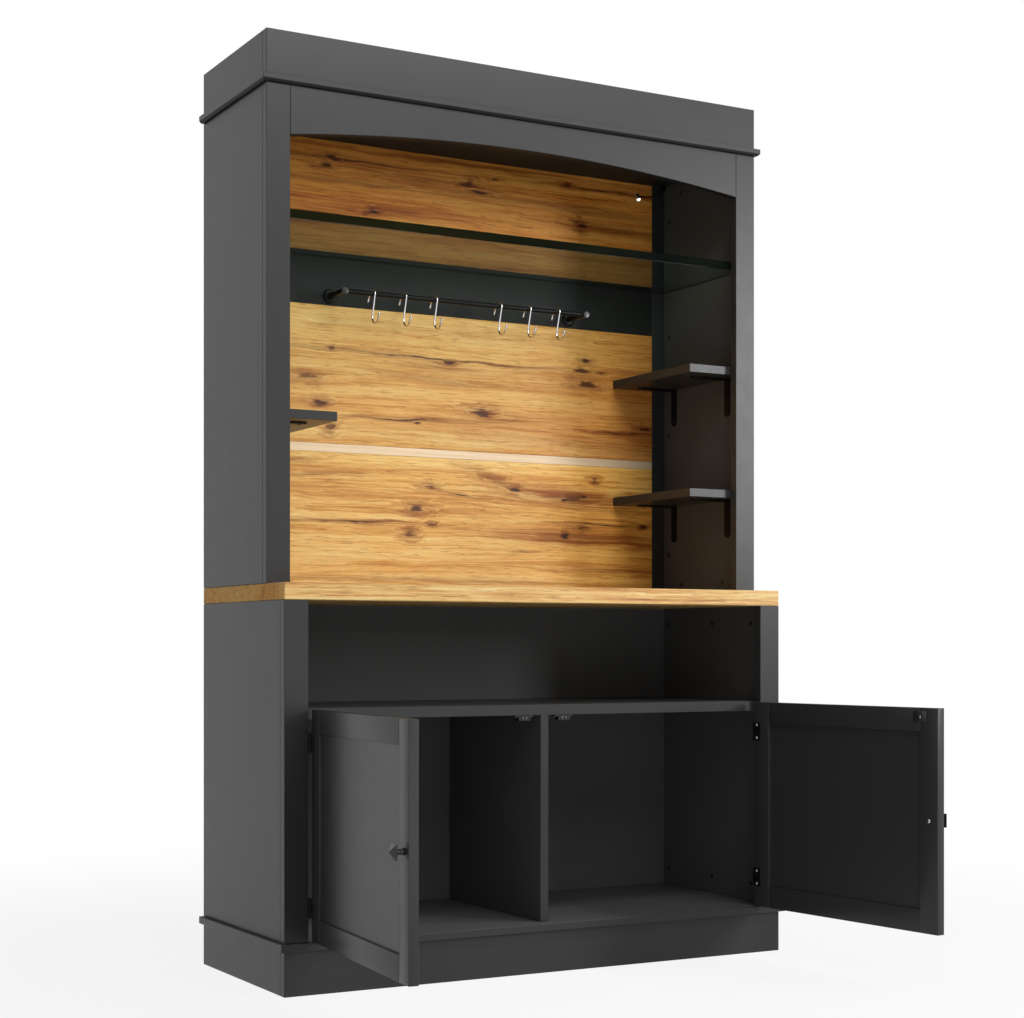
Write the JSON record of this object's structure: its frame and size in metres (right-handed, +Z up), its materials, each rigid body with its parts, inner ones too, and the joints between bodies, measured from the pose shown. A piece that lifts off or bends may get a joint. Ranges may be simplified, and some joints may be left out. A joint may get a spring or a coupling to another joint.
{
  "type": "kitchen buffet cabinet",
  "caption": "Tall kitchen buffet: hinged-door base with an open niche and oak worktop under an arched open hutch with oak back, glass shelf, bracket shelves and hook rail.",
  "frame": {"origin": "centre of the base on the floor, on the underside of the plinth's centre rail", "axes": "+Z up, -Y out of the front, +X to the right seen from the front"},
  "size_m": [1.3176, 1.0597, 2.03],
  "materials": {
    "anthracite_paint": "semi-matte anthracite paint on board",
    "oak": "rustic oak, satin",
    "pale_oak": "pale oak, satin",
    "glass": "clear green-edged glass",
    "black_metal": "black satin",
    "chrome": "polished",
    "black_plastic": "matte"
  },
  "bodies": {
    "cabinet": {"plinth_front": "anthracite_paint", "plinth_left": "anthracite_paint", "plinth_right": "anthracite_paint", "plinth_rear": "anthracite_paint", "plinth_centre_rail": "anthracite_paint", "base_bottom": "anthracite_paint", "base_left_side": "anthracite_paint", "base_right_side": "anthracite_paint", "base_back": "anthracite_paint", "niche_shelf": "anthracite_paint", "base_divider": "anthracite_paint", "base_left_pilaster": "anthracite_paint", "base_right_pilaster": "anthracite_paint", "worktop": "oak", "hutch_left_side": "anthracite_paint", "hutch_right_side": "anthracite_paint", "hutch_left_stile": "anthracite_paint", "hutch_right_stile": "anthracite_paint", "arched_valance": "anthracite_paint", "hutch_top": "anthracite_paint", "frieze_front": "anthracite_paint", "frieze_left": "anthracite_paint", "frieze_right": "anthracite_paint", "back_left_strip": "anthracite_paint", "back_right_strip": "anthracite_paint", "back_lower_panel": "oak", "back_light_strip": "pale_oak", "back_middle_panel": "oak", "back_hook_board": "anthracite_paint", "back_upper_panel": "oak", "glass_shelf": "glass", "left_shelf": "anthracite_paint", "right_upper_shelf": "anthracite_paint", "right_lower_shelf": "anthracite_paint", "left_front_bracket": "black_metal", "left_rear_bracket": "black_metal", "right_upper_front_bracket": "black_metal", "right_upper_rear_bracket": "black_metal", "right_lower_front_bracket": "black_metal", "right_lower_rear_bracket": "black_metal", "hook_rail": "black_metal", "left_magnetic_catch": "black_plastic", "right_magnetic_catch": "black_plastic", "corner_lamp": "black_metal"},
    "left_door": {"left_door_frame": "anthracite_paint", "left_door_panel": "anthracite_paint", "left_knob": "black_metal", "left_upper_hinge_leaf": "black_metal", "left_lower_hinge_leaf": "black_metal"},
    "right_door": {"right_door_frame": "anthracite_paint", "right_door_panel": "anthracite_paint", "right_knob": "black_metal", "right_upper_hinge_leaf": "black_metal", "right_lower_hinge_leaf": "black_metal"},
    "hook_1": {"s_hook_1": "chrome"},
    "hook_2": {"s_hook_2": "chrome"},
    "hook_3": {"s_hook_3": "chrome"},
    "hook_4": {"s_hook_4": "chrome"},
    "hook_5": {"s_hook_5": "chrome"},
    "hook_6": {"s_hook_6": "chrome"}
  },
  "joints": [
    {"name": "left_door_hinge", "type": "hinge", "parent": "cabinet", "child": "left_door", "pos_m": [-0.57825, -0.2435, 0.353], "axis": [0, 0, -1], "range_deg": [-95.7, 74.3]},
    {"name": "right_door_hinge", "type": "hinge", "parent": "cabinet", "child": "right_door", "pos_m": [0.57825, -0.2435, 0.353], "axis": [0, 0, 1], "range_deg": [-95.7, 74.3]},
    {"name": "hook_1_swing", "type": "hinge", "parent": "cabinet", "child": "hook_1", "pos_m": [-0.2505, 0.147, 1.5495], "axis": [1, 0, 0], "range_deg": [-35, 35]},
    {"name": "hook_2_swing", "type": "hinge", "parent": "cabinet", "child": "hook_2", "pos_m": [-0.169, 0.147, 1.5495], "axis": [1, 0, 0], "range_deg": [-35, 35]},
    {"name": "hook_3_swing", "type": "hinge", "parent": "cabinet", "child": "hook_3", "pos_m": [-0.0875, 0.147, 1.5495], "axis": [1, 0, 0], "range_deg": [-35, 35]},
    {"name": "hook_4_swing", "type": "hinge", "parent": "cabinet", "child": "hook_4", "pos_m": [0.0875, 0.147, 1.5495], "axis": [1, 0, 0], "range_deg": [-35, 35]},
    {"name": "hook_5_swing", "type": "hinge", "parent": "cabinet", "child": "hook_5", "pos_m": [0.169, 0.147, 1.5495], "axis": [1, 0, 0], "range_deg": [-35, 35]},
    {"name": "hook_6_swing", "type": "hinge", "parent": "cabinet", "child": "hook_6", "pos_m": [0.2505, 0.147, 1.5495], "axis": [1, 0, 0], "range_deg": [-35, 35]}
  ]
}
